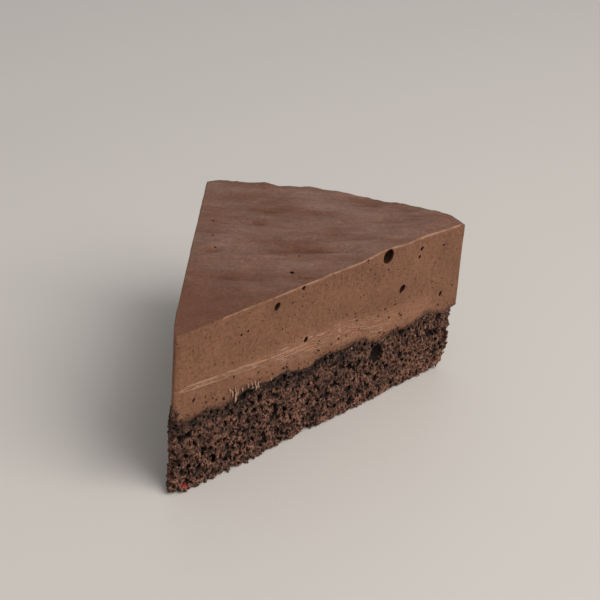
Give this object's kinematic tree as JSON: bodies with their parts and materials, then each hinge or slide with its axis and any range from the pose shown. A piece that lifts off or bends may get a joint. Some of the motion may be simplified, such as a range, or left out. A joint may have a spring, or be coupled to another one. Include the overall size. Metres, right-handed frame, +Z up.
{
  "type": "slice of chocolate mousse cake",
  "caption": "Wedge-shaped slice of chocolate cake: a dark, open-crumbed sponge base under a thick layer of set chocolate mousse with a smoothed top.",
  "frame": {"origin": "under the middle of the slice's box, on the surface that it stands on", "axes": "+X from the tip along the middle of the slice to the curved rim, +Z up, +Y towards the cut face on the left when looking along +X"},
  "size_m": [0.1004, 0.0776, 0.0454],
  "materials": {
    "set_mousse": "satin, fine-pored set chocolate mousse, darker and slightly glossy on its smoothed top",
    "sponge_crumb": "matt, dark, open chocolate sponge crumb"
  },
  "bodies": {
    "root": {"mousse_layer": "set_mousse", "sponge_base": "sponge_crumb"}
  },
  "joints": []
}
